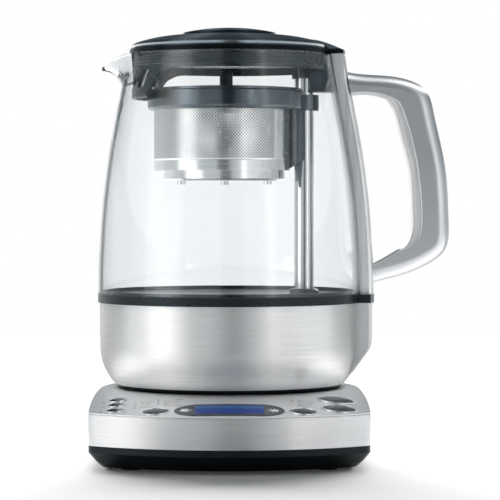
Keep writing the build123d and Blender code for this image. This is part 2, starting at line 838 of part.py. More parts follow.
def rail_bracket():
    """Bracket on the glass wall that holds the post's top."""
    cap = disc(bracket_cap_r, bracket_low, bracket_high, lift_x)
    arm = Pos(lift_x, 0, bracket_low) * Box(
        glass_low_r - lift_x, 2 * bracket_cap_r, bracket_high - bracket_low,
        align=(Align.MIN, Align.CENTER, Align.MIN))
    block = Pos(block_inner_x, 0, block_low) * Box(
        glass_low_r - block_inner_x, 2 * block_half_w, bracket_high - block_low,
        align=(Align.MIN, Align.CENTER, Align.MIN))
    inside = turned(glass_section(-glass_t - fit, block_low - 1, bracket_high + 1))
    bracket = (cap + arm + block) & inside
    return bracket - disc(tube_r, block_low - 1, tube_high, lift_x)


def rim_clip():
    """Clip over the glass rim that ties the bracket to the spine."""
    leg = box_section(clip_in_r, rim_r - glass_t - slip, bracket_high, spine_top + clip_t)
    bridge = box_section(clip_in_r, clip_out_r, spine_top, spine_top + clip_t)
    return sector(leg + bridge, clip_half_angle)


# ---- Basket ----------------------------------------------------------------------------------
def basket_ring():
    """Ring that carries the drum, with an ear round the post."""
    body = disc(ring_r, ring_low, ring_high, ring_x)
    body = fillet(body.edges().group_by(Axis.Z)[-1], 0.8)
    body = fillet(body.edges().group_by(Axis.Z)[0], ring_toe)
    ear = disc(ear_r, ring_low, ear_high, lift_x)
    ear += Pos(basket_x + ring_bore, 0, ring_low) * Box(
        lift_x - basket_x - ring_bore, 2 * ear_r, ear_high - ring_low,
        align=(Align.MIN, Align.CENTER, Align.MIN))
    body += ear
    body -= disc(ring_bore, ring_low - 1, ring_high + 1, basket_x)
    body -= disc(drum_r, ring_low - 1, drum_top, basket_x)
    return body - disc(tube_bore, ring_low - 1, ring_high + 1, lift_x)


def sleeve_pockets():
    """Room for the magnets in the sleeve, level with those in the post."""
    pockets = []
    for level in magnet_levels:
        low = carriage_z + level
        section = box_section(pocket_r, pocket_r + pocket_t, low, low + magnet_h)
        pockets.append(Pos(lift_x, 0, 0) * sector(section, pocket_half_angle, 180))
    return pockets


def sleeve_tips():
    """Pointed guide on each side of the post, under the sleeve."""
    shape = Plane.XZ * make_face(Polyline(
        (lift_x - tip_far, tip_root_z), (lift_x - tip_near, tip_root_z),
        (lift_x - (tip_far + tip_near) / 2, tip_low), close=True))
    wall = ring(tube_bore + tip_t, tube_bore, tip_low, tip_root_z, lift_x)
    return wall & extrude(shape, sleeve_r, both=True)


def basket_bracket():
    """Half sleeve along the post, slanted at its lower end."""
    body = disc(sleeve_r, sleeve_low, ring_low, lift_x)
    body -= disc(tube_bore, sleeve_low - 1, ring_low + 1, lift_x)
    body -= disc(drum_r + fit, sleeve_low - 1, ring_low + 1, basket_x)
    body = body & Pos(lift_x, 0, sleeve_low) * Box(
        2 * sleeve_r, 4 * sleeve_r, ring_low - sleeve_low, align=(Align.MAX, Align.CENTER, Align.MIN))
    slant = Plane.XZ * make_face(Polyline(
        (lift_x - sleeve_r, sleeve_low), (lift_x + 1, sleeve_low),
        (lift_x + 1, sleeve_low + sleeve_slant), (lift_x - sleeve_r, sleeve_low), close=True))
    body -= extrude(slant, 2 * sleeve_r, both=True)
    body += sleeve_tips()
    for pocket in sleeve_pockets():
        body -= pocket
    return body


def bracket_magnets():
    return sleeve_pockets()


def basket_mesh():
    return ring(drum_r, drum_r - drum_t, drum_low, drum_top, basket_x)


def basket_lower_ring():
    return ring(drum_r, drum_r - hoop_w, hoop_low, drum_low, basket_x)


def basket_floor():
    dish = disc(dish_r, dish_low, hoop_low, dish_x)
    dish = chamfer(dish.edges().group_by(Axis.Z)[0], 1.2)
    dish -= disc(dish_r - dish_t, dish_low + dish_t, hoop_low + 1, dish_x)
    for spot in PolarLocations(foot_tab_r, 3, 90):
        tab = disc(foot_tab_d / 2, dish_low - foot_tab_h, dish_low + dish_t / 2)
        dish += Pos(dish_x, 0, 0) * spot * tab
    return dish


def basket_lid():
    edge_z = ring_high + basket_lid_t
    top = basket_lid_top
    outline = ThreePointArc((-basket_lid_r, edge_z), (0, top), (basket_lid_r, edge_z))
    outline += Polyline((basket_lid_r, edge_z), (basket_lid_r, ring_high),
                        (-basket_lid_r, ring_high), (-basket_lid_r, edge_z))
    half = make_face(outline) & box_section(0, basket_lid_r, ring_high, top)
    lid = Pos(ring_x, 0, 0) * turned(half)
    lid += ring(basket_plug_r, basket_plug_r - basket_lid_t, ring_high - basket_plug_h, ring_high, basket_x)
    lid -= disc(knob_post_r, top - basket_lid_t / 2, top + 1, ring_x)
    return lid - disc(tube_bore, ring_high - 1, top + 1, lift_x)


def basket_lid_knob():
    seat = basket_lid_top - basket_lid_t / 2
    knob = disc(knob_post_r, seat, knob_post_high, ring_x)
    return fillet(knob.edges().group_by(Axis.Z)[-1], 1.0)


# ---- Jug lid ---------------------------------------------------------------------------------
def lid_half(inset):
    """Half section of the space under the lid's top, with the top moved in by inset."""
    rise = (lid_disc_r, lid_disc_z - inset)
    shoulder = (lid_shoulder_r - inset / 2, lid_shoulder_z - inset)
    edge = (lid_r - lid_draft - inset, lid_edge_z - inset)
    dome = TangentArc(rise, shoulder, tangent=(1, 0))
    lip = TangentArc(shoulder, edge, tangent=dome % 1)
    back = Polyline(edge, (lid_r - inset, lid_low), (0, lid_low), (0, rise[1]), rise)
    return make_face(dome + lip + back)


def lid_room():
    """Space under the lid's cap."""
    return turned(lid_half(lid_t))


def clip_room():
    """Space that the lid leaves for the clip over the glass rim."""
    top = spine_top + clip_t + slip
    notch = box_section(clip_in_r - 2 * slip, skirt_r + fit, skirt_low - 1, top)
    over = box_section(clip_in_r - 2 * slip, clip_out_r + slip, skirt_low - 1, top)
    return sector(notch, skirt_notch_angle) + sector(over, clip_half_angle + 2)


def lid_cap():
    """Black cap with a tail that covers the spine's top."""
    body = turned(lid_half(0)) - lid_room()
    crest = Spline((tail_root_r, tail_root_z), (tail_knee_r, tail_knee_z),
                   (tail_bend_r, tail_bend_z), (tail_r, tail_edge_z))
    under = Polyline((tail_r, tail_edge_z), (tail_r, tail_low), (lid_r - lid_t, tail_low),
                     (tail_root_r, tail_root_z))
    body += sector(make_face(crest + under), tail_half_angle) - lid_room()
    body -= clip_room()
    return body - disc(knob_stub_r, lid_disc_z - 2 * lid_t, lid_disc_z + 1)


def lid_knob():
    """Round grip fixed to the middle of the lid."""
    side = lid_high - knob_dome
    outline = ThreePointArc((-lid_disc_r, side), (0, lid_high), (lid_disc_r, side))
    seat = lid_disc_r - knob_taper
    outline += Polyline((lid_disc_r, side), (seat, lid_disc_z), (-seat, lid_disc_z), (-lid_disc_r, side))
    half = make_face(outline) & box_section(0, lid_disc_r, lid_disc_z, lid_high)
    grip = turned(half)
    return grip + disc(knob_stub_r, lid_disc_z - lid_t - 1.5, lid_disc_z)


def apron():
    """Part of the skirt that reaches down in front of the spout, from an arched corner."""
    wide = skirt_r * sin(radians(apron_top_angle))
    narrow = skirt_r * sin(radians(apron_low_angle))
    shape = make_face(Polyline((-wide, skirt_low), (wide, skirt_low), (narrow, apron_low),
                               (-narrow, apron_low), close=True))
    shape += Pos(0, skirt_low + 0.5) * Rectangle(2 * skirt_r, 1)
    inner = shape.vertices().filter_by_position(Axis.X, -wide - 1, wide + 1)
    shape = fillet(inner.filter_by_position(Axis.Y, skirt_low - 0.1, skirt_low + 0.1), apron_arch)
    shape = fillet(shape.vertices().group_by(Axis.Y)[0], apron_toe)
    front = extrude(Plane.YZ * shape, -skirt_r - 1)
    return ring(skirt_r, skirt_r - skirt_t, apron_low, skirt_low + 1) & front


def spout_windows():
    """Cuts for the strainer: an upright window in the middle and a slanted one on each side."""
    middle = Pos(0, (filter_low + filter_high) / 2) * Rectangle(2 * filter_window, filter_high - filter_low)
    side = make_face(Polyline((side_window_low[0], filter_low), (side_window_low[1], filter_low),
                              (side_window_high[1], filter_high), (side_window_high[0], filter_high),
                              close=True))
    shapes = middle + side + mirror(side, Plane.YZ)
    return extrude(Plane.YZ * shapes, -skirt_r - 1)


def lid_skirt():
    """Plug ring that hangs in the jug's mouth, with a window for the spout's strainer."""
    wall = ring(skirt_r, skirt_r - skirt_t, skirt_low, lid_high)
    ceiling = disc(skirt_r - 1, skirt_ceiling, skirt_ceiling + skirt_t)
    below = disc(skirt_r + 1, skirt_low - 1, lid_low)
    body = (wall + ceiling) & (below + lid_room())
    body += apron()
    body -= spout_windows()
    body -= clip_room()
    seal_top = lid_seal_z + lid_seal_h
    return body - ring(skirt_r + 1, skirt_r - lid_seal_in, lid_seal_z, seal_top)


def lid_seal():
    """Finned seal in the skirt's groove."""
    section = box_section(skirt_r - lid_seal_in, skirt_r, lid_seal_z, lid_seal_z + lid_seal_h)
    pitch = lid_seal_h / seal_fins
    for fin in range(seal_fins):
        low = lid_seal_z + fin * pitch
        section += make_face(Polyline((skirt_r, low), (skirt_r + lid_seal_out, low + pitch / 2),
                                      (skirt_r, low + pitch / 2), close=True))
    return turned(section) - clip_room()


def spout_filter():
    inner = skirt_r - skirt_t
    section = box_section(inner - filter_t, inner, filter_low - filter_lap, filter_high + filter_lap)
    return sector(section, filter_angle + degrees(filter_lap / inner), 180)


# ---- Write one file per piece ----------------------------------------------------------------
pieces = {
    "base_tray": base_tray,
    "base_band": base_band,
    "base_top_panel": base_top_panel,
    "base_feet": base_feet,
    "tray_screws": tray_screws,
    "cord_gland": cord_gland,
    "connector_post": connector_post,
    "connector_contacts": connector_contacts,
    "display_pod": display_pod,
    "display_screen": display_screen,
    "display_window": display_window,
    "control_board": control_board,
    "tact_switches": tact_switches,
    "button_bezels": button_bezels,
    "jug_base_shell": jug_base_shell,
    "jug_bottom_cover": jug_bottom_cover,
    "jug_socket": jug_socket,
    "bottom_screws": bottom_screws,
    "glass_band": glass_band,
    "heating_plate": heating_plate,
    "plate_seal": plate_seal,
    "heating_element": heating_element,
    "thermostat": thermostat,
    "jug_glass": jug_glass,
    "handle_spine": handle_spine,
    "handle_shell": handle_shell,
    "handle_inlay": handle_inlay,
    "handle_screws": handle_screws,
    "lift_motor": lift_motor,
    "lift_tube": lift_tube,
    "tube_foot": tube_foot,
    "rail_bracket": rail_bracket,
    "rim_clip": rim_clip,
    "lead_screw": lead_screw,
    "magnet_carriage": magnet_carriage,
    "carriage_magnets": carriage_magnets,
    "basket_ring": basket_ring,
    "basket_bracket": basket_bracket,
    "bracket_magnets": bracket_magnets,
    "basket_mesh": basket_mesh,
    "basket_lower_ring": basket_lower_ring,
    "basket_floor": basket_floor,
    "basket_lid": basket_lid,
    "basket_lid_knob": basket_lid_knob,
    "lid_cap": lid_cap,
    "lid_knob": lid_knob,
    "lid_skirt": lid_skirt,
    "lid_seal": lid_seal,
    "spout_filter": spout_filter,
}


def write(name, made):
    """Export one node, whether it is one solid or a group of separate solids."""
    group = made if isinstance(made, list) else [made]
    solids = [solid for item in group for solid in item.solids()]
    export_step(solids[0] if len(solids) == 1 else Compound(children=solids), f"parts/{name}.step")


os.makedirs("parts", exist_ok=True)
for name, make in pieces.items():
    write(name, make())
for name, values in buttons.items():
    write(name, button(*values))
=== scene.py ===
import bmesh
import bpy
from math import asin, cos, pi, radians, sin, sqrt
from mathutils import Matrix, Vector


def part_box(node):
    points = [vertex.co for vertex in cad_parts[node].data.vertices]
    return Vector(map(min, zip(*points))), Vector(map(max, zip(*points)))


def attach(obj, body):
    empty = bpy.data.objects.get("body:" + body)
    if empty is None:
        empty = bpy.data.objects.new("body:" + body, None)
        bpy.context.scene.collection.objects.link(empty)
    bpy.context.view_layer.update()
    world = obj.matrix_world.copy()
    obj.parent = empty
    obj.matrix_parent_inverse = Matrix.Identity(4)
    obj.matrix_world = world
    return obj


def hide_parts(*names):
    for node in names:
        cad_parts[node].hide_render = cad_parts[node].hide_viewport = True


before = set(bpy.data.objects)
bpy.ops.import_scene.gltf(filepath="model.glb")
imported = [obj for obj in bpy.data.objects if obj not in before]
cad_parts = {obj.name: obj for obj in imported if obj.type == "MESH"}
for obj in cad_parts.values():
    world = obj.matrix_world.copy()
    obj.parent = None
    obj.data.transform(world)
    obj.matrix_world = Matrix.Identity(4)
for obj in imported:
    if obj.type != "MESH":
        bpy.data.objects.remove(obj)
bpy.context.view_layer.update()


# ---- Base tray and feet ----------------------------------------------------------------------
# The tray is one black ABS moulding that carries the whole base; its skin is spark-eroded in the
# mould, so it is a fine matt grain. The feet are a soft rubber ring and two pads, pressed into
# shallow recesses in its underside.
def finish(name, **sockets):
    """A material with sockets of its shader set, named with underscores for spaces."""
    made = bpy.data.materials.new(name)
    made.use_nodes = True
    shader = made.node_tree.nodes["Principled BSDF"]
    for socket, value in sockets.items():
        shader.inputs[socket.replace("_", " ")].default_value = value
    return made


def texture(made, kind, stretch=(1, 1, 1), turn=(0, 0, 0), **sockets):
    """A texture node on the object's own coordinates, in metres."""
    tree = made.node_tree
    place = tree.nodes.new("ShaderNodeTexCoord")
    fit = tree.nodes.new("ShaderNodeMapping")
    fit.inputs["Scale"].default_value = stretch
    fit.inputs["Rotation"].default_value = turn
    made_texture = tree.nodes.new("ShaderNodeTex" + kind)
    for socket, value in sockets.items():
        made_texture.inputs[socket].default_value = value
    tree.links.new(place.outputs["Object"], fit.inputs["Vector"])
    tree.links.new(fit.outputs["Vector"], made_texture.inputs["Vector"])
    return made_texture.outputs[0]


def relief(made, height, depth, strength=1.0):
    """Raise the surface by a texture, with depth in metres."""
    tree = made.node_tree
    shader = tree.nodes["Principled BSDF"]
    bump = tree.nodes.new("ShaderNodeBump")
    bump.inputs["Distance"].default_value = depth
    bump.inputs["Strength"].default_value = strength
    tree.links.new(height, bump.inputs["Height"])
    if shader.inputs["Normal"].links:
        tree.links.new(shader.inputs["Normal"].links[0].from_socket, bump.inputs["Normal"])
    tree.links.new(bump.outputs["Normal"], shader.inputs["Normal"])


def along(made, axis):
    """Place on one of the object's own axes, in metres."""
    place = made.node_tree.nodes.new("ShaderNodeTexCoord")
    parts = made.node_tree.nodes.new("ShaderNodeSeparateXYZ")
    made.node_tree.links.new(place.outputs["Object"], parts.inputs["Vector"])
    return parts.outputs[axis]


def span(tree, value, start, end, low=0.0, high=1.0, smooth=False):
    """A number that goes from low to high while the value goes from start to end."""
    made = tree.nodes.new("ShaderNodeMapRange")
    made.interpolation_type = "SMOOTHSTEP" if smooth else "LINEAR"
    for name, number in (("From Min", start), ("From Max", end), ("To Min", low), ("To Max", high)):
        made.inputs[name].default_value = number
    tree.links.new(value, made.inputs["Value"])
    return made.outputs["Result"]


# nearly all of a noise lies between these two values
noise_low, noise_high = 0.3, 0.7


def vary(made, socket, noise, low, high):
    """Drive a number of the shader between low and high by a noise."""
    tree = made.node_tree
    number = span(tree, noise, noise_low, noise_high, low, high)
    tree.links.new(number, tree.nodes["Principled BSDF"].inputs[socket])


def tint(made, factor, *stops, socket="Base Color"):
    """Colour the shader by a ramp of (place, colour) stops over a texture."""
    tree = made.node_tree
    ramp = tree.nodes.new("ShaderNodeValToRGB")
    ramp.color_ramp.elements.remove(ramp.color_ramp.elements[1])
    ramp.color_ramp.elements[0].position = stops[0][0]
    ramp.color_ramp.elements[0].color = (*stops[0][1], 1)
    for place, colour in stops[1:]:
        ramp.color_ramp.elements.new(place).color = (*colour, 1)
    tree.links.new(factor, ramp.inputs["Fac"])
    tree.links.new(ramp.outputs["Color"], tree.nodes["Principled BSDF"].inputs[socket])


cool_sheen = (0.76, 0.90, 1.0)


def moulded_plastic(name, dark, light, roughness, grain_depth=0.000012, gloss=0.5, ior=1.5):
    """Moulded plastic with a fine grained skin, a cool sheen and a faintly cloudy colour."""
    grain = 0.00035
    made = finish(name, Specular_IOR_Level=gloss, IOR=ior, Specular_Tint=(*cool_sheen, 1))
    cloud = texture(made, "Noise", Scale=55.0, Detail=3.0)
    tint(made, cloud, (noise_low, dark), (noise_high, light))
    vary(made, "Roughness", texture(made, "Noise", Scale=160.0, Detail=2.0),
         roughness - 0.04, roughness + 0.05)
    relief(made, texture(made, "Noise", Scale=1 / grain, Detail=2.0), grain_depth)
    return made


def dress(made, *nodes):
    """Give CAD nodes a finish."""
    for name in nodes:
        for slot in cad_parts[name].material_slots:
            slot.material = made


tray_black = moulded_plastic("tray_black", (0.003, 0.004, 0.005), (0.005, 0.006, 0.008), 0.34,
                             gloss=0.26)
dress(tray_black, "base_tray")

foot_rubber = finish("foot_rubber", Specular_IOR_Level=0.3)
tint(foot_rubber, texture(foot_rubber, "Noise", Scale=900.0, Detail=3.0),
     (noise_low, (0.012, 0.012, 0.012)), (noise_high, (0.028, 0.028, 0.027)))
vary(foot_rubber, "Roughness", texture(foot_rubber, "Noise", Scale=300.0), 0.7, 0.85)
relief(foot_rubber, texture(foot_rubber, "Noise", Scale=2500.0), 0.00003)
dress(foot_rubber, "base_feet")


# ---- Steel screws ----------------------------------------------------------------------------
# Pan-head steel screws hold the deck to the tray, the cover to the jug's foot and the handle to
# its spine. They are zinc plated, with a fine turned lay and a little dulling.
def bare_metal(name, dark, light, cloud, smooth, rough, wear, cloud_detail=2.0, wear_detail=2.0,
               stretch=(1, 1, 1), metallic=1.0):
    """Metal whose colour follows a noise of scale cloud, and its roughness one of scale wear."""
    made = finish(name, Metallic=metallic)
    tint(made, texture(made, "Noise", stretch=stretch, Scale=cloud, Detail=cloud_detail),
         (noise_low, dark), (noise_high, light))
    vary(made, "Roughness", texture(made, "Noise", Scale=wear, Detail=wear_detail), smooth, rough)
    return made


zinc_steel = bare_metal("zinc_steel", (0.42, 0.43, 0.44), (0.60, 0.61, 0.61), cloud=260.0,
                        smooth=0.28, rough=0.42, wear=500.0, cloud_detail=4.0)
relief(zinc_steel, texture(zinc_steel, "Wave", Scale=900.0), 0.00001)
dress(zinc_steel, "tray_screws", "bottom_screws", "handle_screws")


# ---- Steel band round the base ---------------------------------------------------------------
# A strip of stainless steel, brushed along its length and rolled round the base, between the
# tray and the deck. The brushing is fine level lines a few centimetres long.
def brushed_steel(name, dark, light, roughness, stretch, lay_depth=0.000006):
    """Brushed stainless steel, with the lay of its lines given by the stretch of a noise."""
    line_pitch = 0.00022
    made = finish(name, Metallic=1.0, Anisotropic=0.85, Anisotropic_Rotation=0.25)
    lines = texture(made, "Noise", stretch=stretch, Scale=1 / line_pitch, Detail=3.0)
    tint(made, lines, (0.25, dark), (0.75, light))
    bundles = texture(made, "Noise", stretch=stretch, Scale=0.3 / line_pitch, Detail=2.0)
    vary(made, "Roughness", bundles, roughness - 0.05, roughness + 0.06)
    relief(made, lines, lay_depth)
    tangent = made.node_tree.nodes.new("ShaderNodeTangent")
    tangent.direction_type = "RADIAL"
    tangent.axis = "Z"
    shader = made.node_tree.nodes["Principled BSDF"]
    made.node_tree.links.new(tangent.outputs["Tangent"], shader.inputs["Tangent"])
    return made


level_lay = (0.008, 0.008, 1)
band_steel = brushed_steel("band_steel", (0.60, 0.61, 0.62), (0.74, 0.74, 0.745), 0.34,
                           level_lay)
dress(band_steel, "base_band")


# ---- Deck ------------------------------------------------------------------------------------
# The deck is a moulded top with a satin metallic coat: a pale grey full of fine flake, which
# glitters slightly. It snaps over the band and carries the buttons and the display.
deck_coat = finish("deck_coat", Metallic=0.9, Coat_Weight=0.1, Coat_Roughness=0.3)
flake = texture(deck_coat, "Voronoi", Scale=2600.0)
tint(deck_coat, texture(deck_coat, "Noise", Scale=2100.0, Detail=4.0, Roughness=0.7),
     (0.25, (0.66, 0.665, 0.67)), (0.5, (0.78, 0.785, 0.79)), (0.78, (0.90, 0.90, 0.90)))
vary(deck_coat, "Roughness", texture(deck_coat, "Noise", Scale=700.0), 0.42, 0.52)
relief(deck_coat, flake, 0.000016, 0.6)
dress(deck_coat, "base_top_panel")


# ---- Marks on the deck -----------------------------------------------------------------------
# Pad-printed marks beside the buttons: rows of dots that say how strong or how warm, and plain
# short bars. The ink lies a few hundredths of a millimetre proud of the coat.
mark_thick = 0.00003
dot_r, dot_sides = 0.00085, 16
bar_width, bar_sides = 0.0008, 4
bar_columns = ((-0.0515, -0.0440), (-0.0380, -0.0270), (0.0392, 0.0500))
bar_rows = 4
bar_first_y, bar_pitch = -0.0770, 0.0046
bar_shorter = 0.0012
strength_dots = [(-0.0545, -0.0765 - 0.0048 * row) for row in range(4)]
colour_dots = [(-0.0413, -0.0745 - 0.0052 * row) for row in range(3)]
warm_dots = [(0.0362, -0.0765), (0.0362, -0.0805)]
side_dots = [(-0.0735, -0.0665), (-0.0737, -0.0800), (-0.0740, -0.0945)]
above_deck = 0.06
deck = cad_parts["base_top_panel"]


def on_deck(x, y, under=deck):
    """Where the surface is over x, y, as a matrix with its normal along Z."""
    _, place, normal, _ = under.ray_cast(Vector((x, y, above_deck)), Vector((0, 0, -1)))
    turn = Vector((0, 0, 1)).rotation_difference(normal).to_matrix().to_4x4()
    return Matrix.Translation(place) @ turn


def verts_of(geom):
    """The vertices among what a bmesh operator returns."""
    return [item for item in geom if isinstance(item, bmesh.types.BMVert)]


def print_mark(sheet, x, y, length, width, sides, under=deck):
    """One printed mark: a disc, or a bar along X, with a little thickness."""
    made = bmesh.ops.create_circle(sheet, cap_ends=True, segments=sides, radius=0.5)
    stretch = Matrix.Diagonal((length, width, 1, 1))
    if sides == bar_sides:
        stretch = stretch @ Matrix.Scale(sqrt(2), 4) @ Matrix.Rotation(pi / 4, 4, "Z")
    bmesh.ops.transform(sheet, matrix=on_deck(x, y, under) @ stretch, verts=made["verts"])
    face = made["verts"][0].link_faces[0]
    raised = bmesh.ops.extrude_face_region(sheet, geom=[face])["geom"]
    lift = face.normal * mark_thick
    bmesh.ops.translate(sheet, vec=lift, verts=verts_of(raised))


def piece(name, shape, body, made, smooth_angle=None):
    """Turn a bmesh into a piece that rides on a body and has one finish."""
    bmesh.ops.recalc_face_normals(shape, faces=shape.faces)
    mesh = bpy.data.meshes.new(name)
    shape.to_mesh(mesh)
    shape.free()
    made_object = bpy.data.objects.new(name, mesh)
    bpy.context.scene.collection.objects.link(made_object)
    mesh.materials.append(made)
    if smooth_angle is not None:
        mesh.shade_smooth()
        mesh.set_sharp_from_angle(angle=radians(smooth_angle))
    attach(made_object, body)
    return made_object


dark_ink = moulded_plastic("dark_ink", (0.008, 0.009, 0.010), (0.014, 0.015, 0.016), 0.5, gloss=0.15)
red_ink = moulded_plastic("red_ink", (0.34, 0.03, 0.04), (0.42, 0.05, 0.05), 0.5, gloss=0.15)
grey_ink = moulded_plastic("grey_ink", (0.05, 0.055, 0.06), (0.075, 0.08, 0.085), 0.5, gloss=0.15)

for name, places, ink in (("dot_marks", strength_dots + colour_dots + side_dots, dark_ink),
                          ("warm_marks", warm_dots, red_ink)):
    dots = bmesh.new()
    for x, y in places:
        print_mark(dots, x, y, 2 * dot_r, 2 * dot_r, dot_sides)
    piece(name, dots, "power_base", ink)
bars = bmesh.new()
for left, right in bar_columns:
    for row in range(bar_rows):
        short = (row % 3) * bar_shorter
        print_mark(bars, (left + right - short) / 2, bar_first_y - bar_pitch * row,
                   right - left - short, bar_width, bar_sides)
piece("bar_marks", bars, "power_base", grey_ink)


# ---- Cord gland, connector and inside of the base --------------------------------------------
# A rubber gland holds the mains lead where it enters the tray. The round connector on the deck is
# black glass-filled nylon with three brass rings, and a board with small switches lies below.
gland_black = moulded_plastic("gland_black", (0.012, 0.012, 0.013), (0.022, 0.022, 0.023), 0.55)
dress(gland_black, "cord_gland")
nylon_black = moulded_plastic("nylon_black", (0.014, 0.015, 0.016), (0.024, 0.025, 0.027), 0.42)
dress(nylon_black, "connector_post", "jug_socket", "tact_switches", "thermostat")
contact_brass = bare_metal("contact_brass", (0.55, 0.40, 0.16), (0.72, 0.54, 0.25), cloud=300.0,
                           smooth=0.22, rough=0.36, wear=400.0, cloud_detail=3.0)
dress(contact_brass, "connector_contacts")
solder_mask = finish("solder_mask", Coat_Weight=0.3)
tint(solder_mask, texture(solder_mask, "Magic", stretch=(1, 1, 0), Scale=90.0),
     (0.35, (0.010, 0.060, 0.028)), (0.65, (0.022, 0.105, 0.05)))
vary(solder_mask, "Roughness", texture(solder_mask, "Noise", Scale=200.0), 0.3, 0.5)
dress(solder_mask, "control_board", "display_screen")


# ---- Display pod and window ------------------------------------------------------------------
# The pod is a dark grey satin moulding let into the deck. The window is a clear lens over a blue
# backlit panel, brightest towards its rear edge.
pod_grey = moulded_plastic("pod_grey", (0.022, 0.026, 0.030), (0.032, 0.037, 0.042), 0.35)
dress(pod_grey, "display_pod")
window_low, window_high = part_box("display_window")
window_depth = window_high.y - window_low.y
window_blue = finish("window_blue", Roughness=0.15, Specular_IOR_Level=0.05, Emission_Strength=0.25)
# the gradient runs along X, so a quarter turn lays it over the window's own Y, from front to back
backwards = texture(window_blue, "Gradient", stretch=(1, 1 / window_depth, 1), turn=(0, 0, -pi / 2))
laid = window_blue.node_tree.nodes["Mapping"]
laid.inputs["Location"].default_value = (-window_low.y / window_depth, 0, 0)
blue_stops = ((0.0, (0.004, 0.010, 0.03)), (0.14, (0.001, 0.035, 0.24)),
              (0.55, (0.001, 0.045, 0.31)), (0.80, (0.05, 0.15, 0.42)),
              (0.92, (0.02, 0.09, 0.24)), (1.0, (0.006, 0.014, 0.04)))
for socket in ("Emission Color", "Base Color"):
    tint(window_blue, backwards, *blue_stops, socket=socket)
dress(window_blue, "display_window")


# ---- Buttons and their rings -----------------------------------------------------------------
# Each button is a domed cap in a chromed ring. The caps on the left are dark chrome, those in the
# middle are smoky black, and the two large ones on the right are dark grey. The two in the pod are
# bright chrome and carry a printed minus and plus.
chrome = bare_metal("chrome", (0.72, 0.73, 0.74), (0.80, 0.80, 0.805), cloud=45.0,
                    smooth=0.06, rough=0.12, wear=220.0, wear_detail=3.0)
dress(chrome, "button_bezels", "minus_button", "plus_button")
dark_chrome = bare_metal("dark_chrome", (0.12, 0.125, 0.13), (0.16, 0.165, 0.17), cloud=60.0,
                         smooth=0.08, rough=0.16, wear=220.0, wear_detail=3.0)
dress(dark_chrome, "left_rear_button", "left_middle_button", "left_front_button")
smoke_black = moulded_plastic("smoke_black", (0.008, 0.009, 0.011), (0.014, 0.016, 0.019), 0.12,
                              grain_depth=0.000002, gloss=0.2)
dress(smoke_black, "tea_type_button", "strength_button")
cap_grey = moulded_plastic("cap_grey", (0.014, 0.017, 0.020), (0.022, 0.026, 0.030), 0.26,
                           gloss=0.3)
dress(cap_grey, "keep_warm_button", "start_button")
sign_length, sign_width = 0.0038, 0.0010
for sign, crossed in (("minus", False), ("plus", True)):
    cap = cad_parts[sign + "_button"]
    low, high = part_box(sign + "_button")
    at = ((low.x + high.x) / 2, (low.y + high.y) / 2)
    strokes = bmesh.new()
    print_mark(strokes, *at, sign_length, sign_width, bar_sides, cap)
    if crossed:
        print_mark(strokes, *at, sign_width, sign_length, bar_sides, cap)
    piece(sign + "_mark", strokes, sign + "_button", dark_ink)


# ---- Jug foot --------------------------------------------------------------------------------
# The foot is a deep-drawn stainless shell, brushed level on a lathe, with a bump pressed out
# under the handle. A black moulded cover closes it below.
foot_steel = brushed_steel("foot_steel", (0.66, 0.665, 0.67), (0.80, 0.80, 0.80), 0.38,
                           level_lay)
dress(foot_steel, "jug_base_shell")
cover_black = moulded_plastic("cover_black", (0.004, 0.005, 0.006), (0.007, 0.008, 0.009), 0.35,
                              gloss=0.3)
dress(cover_black, "jug_bottom_cover")


# ---- Collar, heating plate and drive in the foot ---------------------------------------------
# A dark moulded collar joins glass to steel. The brushed steel plate inside it is the jug's floor,
# held by a grey seal, with a sheathed element brazed under it, and a small geared motor stands
# below the lift post.
collar_grey = moulded_plastic("collar_grey", (0.010, 0.014, 0.018), (0.015, 0.020, 0.025), 0.3,
                              gloss=0.3)
dress(collar_grey, "glass_band")
straight_lay = (1, 0.01, 1)
plate_steel = brushed_steel("plate_steel", (0.58, 0.585, 0.59), (0.64, 0.645, 0.65), 0.34,
                            straight_lay, lay_depth=0.000002)
dress(plate_steel, "heating_plate")
seal_grey = moulded_plastic("seal_grey", (0.012, 0.016, 0.020), (0.018, 0.023, 0.027), 0.3,
                            gloss=0.7)
dress(seal_grey, "plate_seal", "lid_seal")
dull_steel = bare_metal("dull_steel", (0.34, 0.34, 0.35), (0.52, 0.52, 0.53), cloud=120.0,
                        smooth=0.35, rough=0.5, wear=200.0, cloud_detail=5.0)
dress(dull_steel, "heating_element", "lift_motor")


# ---- Glass body ------------------------------------------------------------------------------
# Blown borosilicate glass about 2 mm thick, fire-polished at the rim and drawn out to a spout.
# It is clear, with a faint cold tint where one looks along the wall.
clear_glass = finish("clear_glass", Base_Color=(0.985, 0.992, 0.995, 1), Roughness=0.0,
                     Transmission_Weight=1.0, IOR=1.47)
tint_in_wall = clear_glass.node_tree.nodes.new("ShaderNodeVolumeAbsorption")
tint_in_wall.inputs["Color"].default_value = (0.42, 0.55, 0.62, 1)
tint_in_wall.inputs["Density"].default_value = 22.0
clear_glass.node_tree.links.new(tint_in_wall.outputs["Volume"],
                                clear_glass.node_tree.nodes["Material Output"].inputs["Volume"])
dress(clear_glass, "jug_glass")


